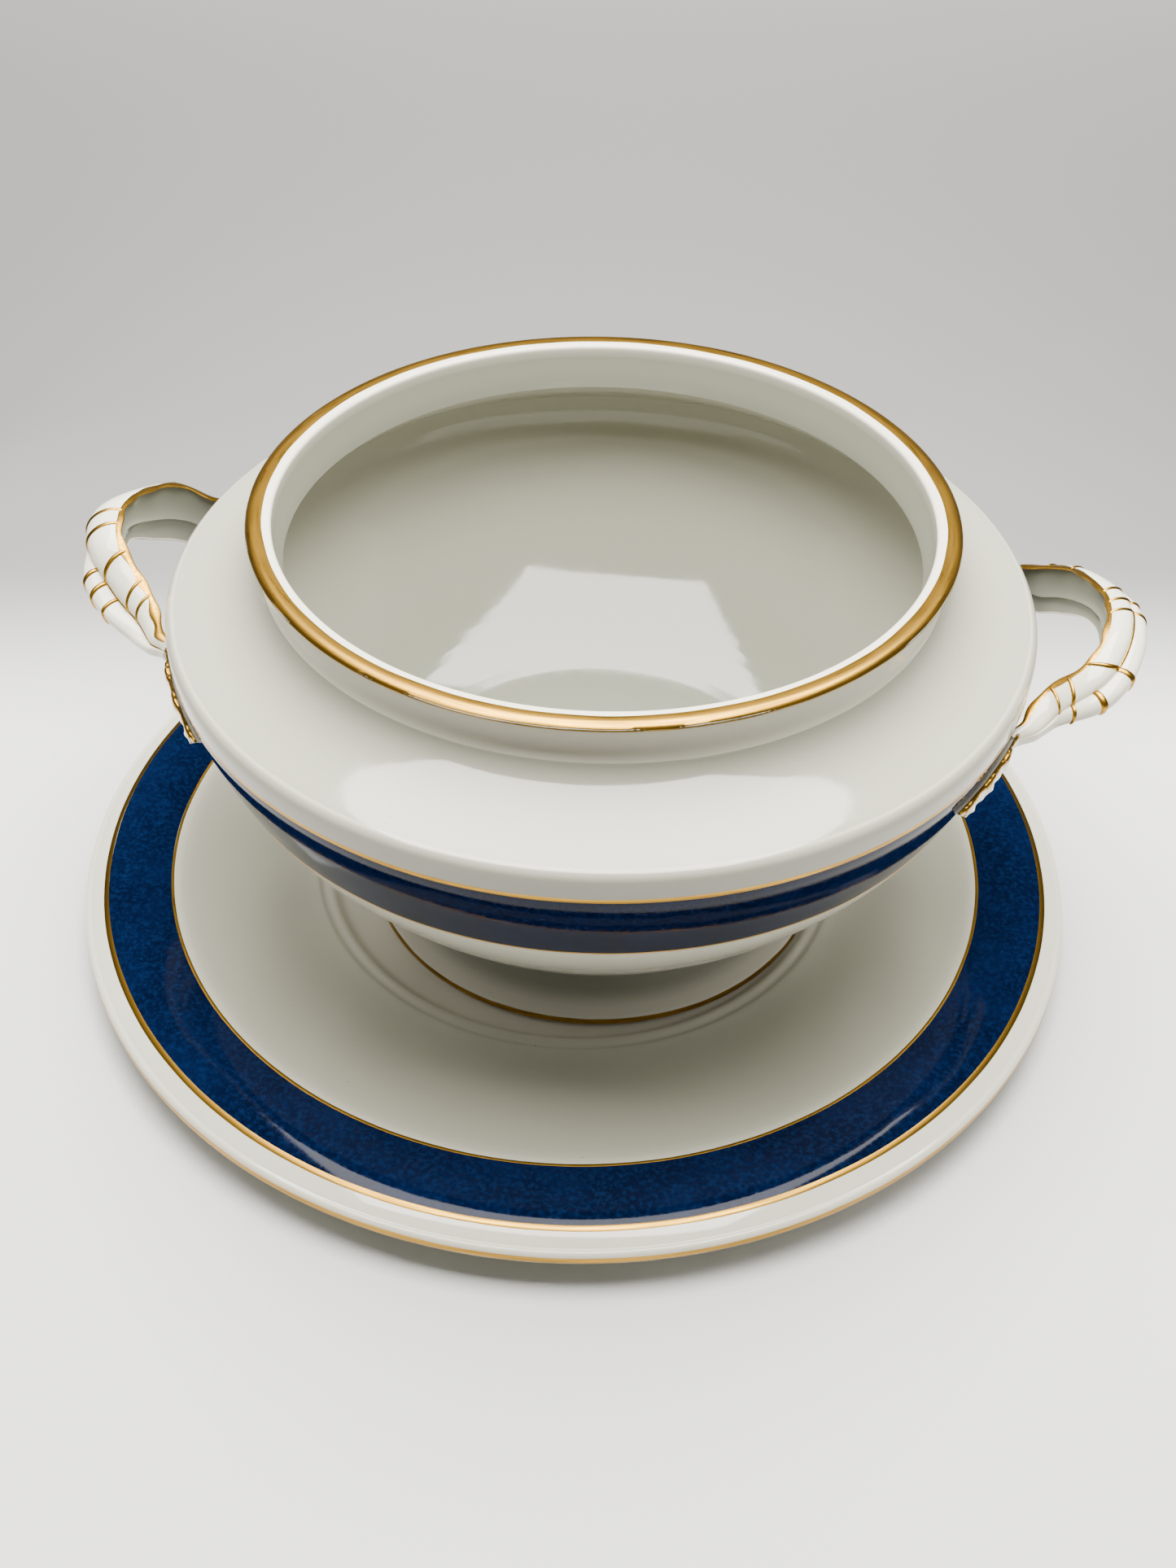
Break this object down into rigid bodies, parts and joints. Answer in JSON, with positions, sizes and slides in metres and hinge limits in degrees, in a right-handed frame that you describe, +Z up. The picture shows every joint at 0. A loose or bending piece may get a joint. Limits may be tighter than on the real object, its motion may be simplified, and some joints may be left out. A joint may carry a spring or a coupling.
{
  "type": "soup tureen",
  "caption": "Round open soup tureen with a rolled collar, pedestal foot and paired-reed handles with leaves, standing loose on a matching round dish with a wide rim band.",
  "frame": {"origin": "centre of the stand's foot ring, on the table", "axes": "+Z up, +X along the two handles to the right handle, +Y to the back"},
  "size_m": [0.3496, 0.348, 0.1636],
  "materials": {
    "glaze": "glossy clear glaze over off-white earthenware",
    "gilding": "worn burnished gilding fired on the clay rings"
  },
  "bodies": {
    "stand": {"stand_dish": "glaze"},
    "tureen": {"tureen_bowl": "glaze", "tureen_collar": "glaze", "tureen_foot": "glaze", "left_upper_reed": "glaze", "left_lower_reed": "glaze", "left_reed_ties": "gilding", "left_front_leaf": "glaze", "left_back_leaf": "glaze", "right_upper_reed": "glaze", "right_lower_reed": "glaze", "right_reed_ties": "gilding", "right_front_leaf": "glaze", "right_back_leaf": "glaze"}
  },
  "joints": [
    {"name": "tureen_lift", "type": "slide", "parent": "stand", "child": "tureen", "axis": [0, 0, 1], "range_m": [0, 0.25]}
  ]
}
